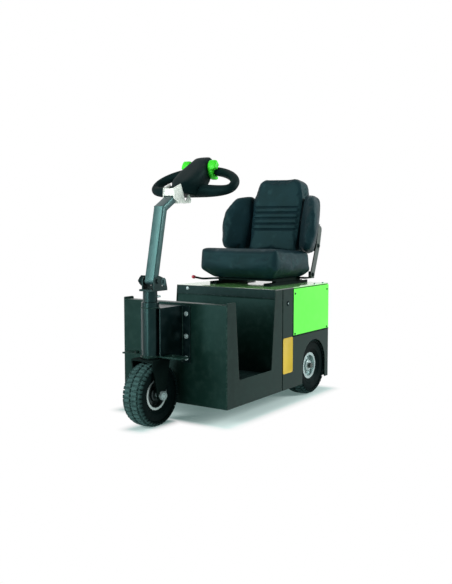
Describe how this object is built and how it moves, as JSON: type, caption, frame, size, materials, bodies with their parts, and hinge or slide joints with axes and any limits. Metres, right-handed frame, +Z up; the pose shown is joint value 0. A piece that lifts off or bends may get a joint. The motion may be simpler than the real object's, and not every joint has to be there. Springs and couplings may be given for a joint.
{
  "type": "compact three-wheel ride-on electric tow tractor",
  "caption": "Compact ride-on electric tow tractor with a step-through footwell, single steered front wheel, tiller head with a loop handle, padded driver's seat and rear jaw hitch.",
  "frame": {"origin": "on the floor below the middle of the bounding box", "axes": "+X forward, +Y to the driver's left, +Z up"},
  "size_m": [1.249, 0.54, 1.0954],
  "materials": {
    "body_paint": "satin charcoal powder coat",
    "lime_paint": "gloss lime green paint",
    "black_metal": "satin black paint",
    "column_paint": "satin dark grey paint",
    "grey_steel": "plain rolled steel",
    "rim_silver": "silver paint on pressed steel",
    "zinc_plate": "pale zinc plate",
    "tyre_rubber": "black tyre rubber",
    "mat_rubber": "ribbed black rubber",
    "black_plastic": "moulded black plastic",
    "lime_plastic": "moulded lime green plastic",
    "seat_vinyl": "black vinyl upholstery with a blue cast",
    "battery_case": "moulded battery case"
  },
  "bodies": {
    "chassis": {"front_plate": "body_paint", "side_panel_left": "body_paint", "side_panel_right": "body_paint", "floor_plate": "body_paint", "floor_mat": "mat_rubber", "well_wall": "body_paint", "rear_side_left": "body_paint", "rear_side_right": "body_paint", "side_cover_left": "lime_paint", "side_cover_right": "lime_paint", "deck_cover": "lime_paint", "rear_plate": "body_paint", "chassis_rails": "body_paint", "cross_members": "body_paint", "battery_pack": "battery_case", "drive_motor": "grey_steel", "rear_axle": "grey_steel", "tow_hitch": "black_metal", "key_switch": "black_plastic", "seat_rails": "black_metal", "steering_bracket": "body_paint", "head_tube": "black_metal", "cross_plate": "body_paint"},
    "steering": {"fork": "black_metal", "steering_shaft": "column_paint", "front_axle": "rim_silver", "tilt_yoke": "black_metal", "clamp_knob": "black_plastic"},
    "column": {"column_post": "column_paint", "head_cradle": "zinc_plate", "tiller_pod": "black_plastic", "loop_handle": "black_plastic", "throttle_left": "lime_plastic", "throttle_right": "lime_plastic"},
    "front_wheel": {"front_tyre": "tyre_rubber", "front_rim": "rim_silver"},
    "rear_left_wheel": {"rear_left_tyre": "tyre_rubber", "rear_left_rim": "rim_silver"},
    "rear_right_wheel": {"rear_right_tyre": "tyre_rubber", "rear_right_rim": "rim_silver"},
    "seat": {"seat_pan": "black_metal", "seat_cushion": "seat_vinyl", "backrest": "seat_vinyl", "bolster_left": "seat_vinyl", "bolster_right": "seat_vinyl", "back_frame": "grey_steel", "slide_lever": "black_metal"}
  },
  "joints": [
    {"name": "steering", "type": "hinge", "parent": "chassis", "child": "steering", "pos_m": [0.4945, 0, 0.13], "axis": [0, 0, 1], "range_deg": [-50, 50]},
    {"name": "column_tilt", "type": "hinge", "parent": "steering", "child": "column", "pos_m": [0.4855, 0, 0.585], "axis": [0, -1, 0], "range_deg": [-15, 20]},
    {"name": "front_wheel_spin", "type": "hinge", "parent": "steering", "child": "front_wheel", "pos_m": [0.4945, 0, 0.13], "axis": [0, 1, 0], "continuous": true},
    {"name": "rear_left_spin", "type": "hinge", "parent": "chassis", "child": "rear_left_wheel", "pos_m": [-0.3985, 0.213, 0.136], "axis": [0, 1, 0], "continuous": true},
    {"name": "rear_right_spin", "type": "hinge", "parent": "chassis", "child": "rear_right_wheel", "pos_m": [-0.3985, -0.213, 0.136], "axis": [0, 1, 0], "continuous": true},
    {"name": "seat_slide", "type": "slide", "parent": "chassis", "child": "seat", "axis": [1, 0, 0], "range_m": [-0.06, 0.06]}
  ]
}
